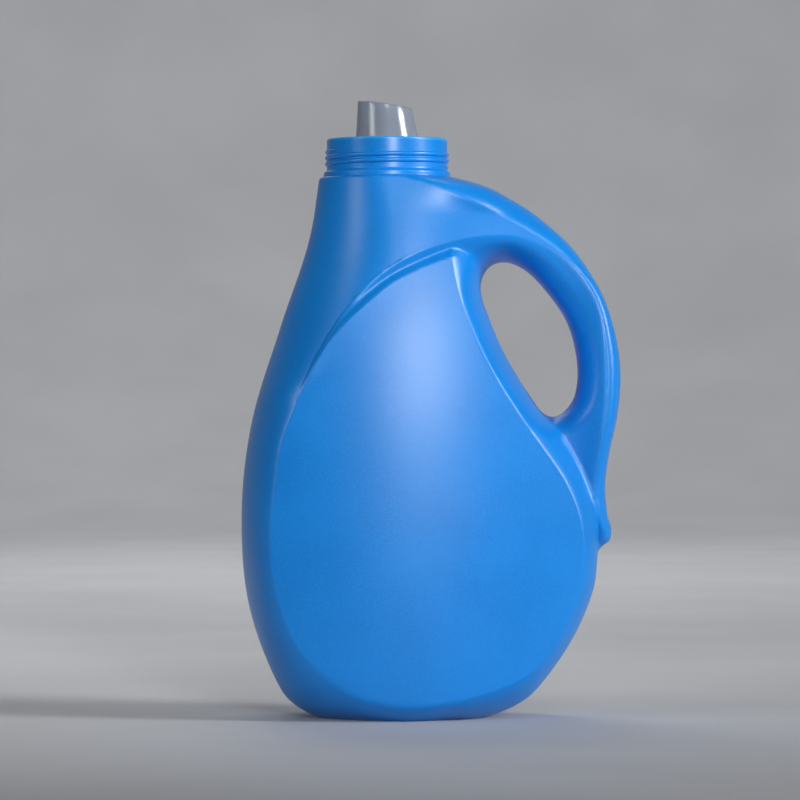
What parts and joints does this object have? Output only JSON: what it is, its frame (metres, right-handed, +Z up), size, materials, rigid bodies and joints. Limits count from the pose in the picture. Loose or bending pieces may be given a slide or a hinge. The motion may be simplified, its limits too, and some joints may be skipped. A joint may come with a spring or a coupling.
{
  "type": "laundry detergent bottle",
  "caption": "Blow-moulded bottle with a loop handle, oval side panels, a threaded neck and a translucent drain-back pour spout pressed into the neck.",
  "frame": {"origin": "under the middle of the bottle's box, on the surface it stands on", "axes": "+Z up along the neck, +X towards the handle, +Y through the bottle's thickness"},
  "size_m": [0.172, 0.095, 0.2795],
  "materials": {
    "blue_polyethylene": "satin, with a fine sandblast grain",
    "natural_plastic": "translucent, slightly frosted"
  },
  "bodies": {
    "root": {"bottle": "blue_polyethylene", "pour_spout": "natural_plastic"}
  },
  "joints": []
}
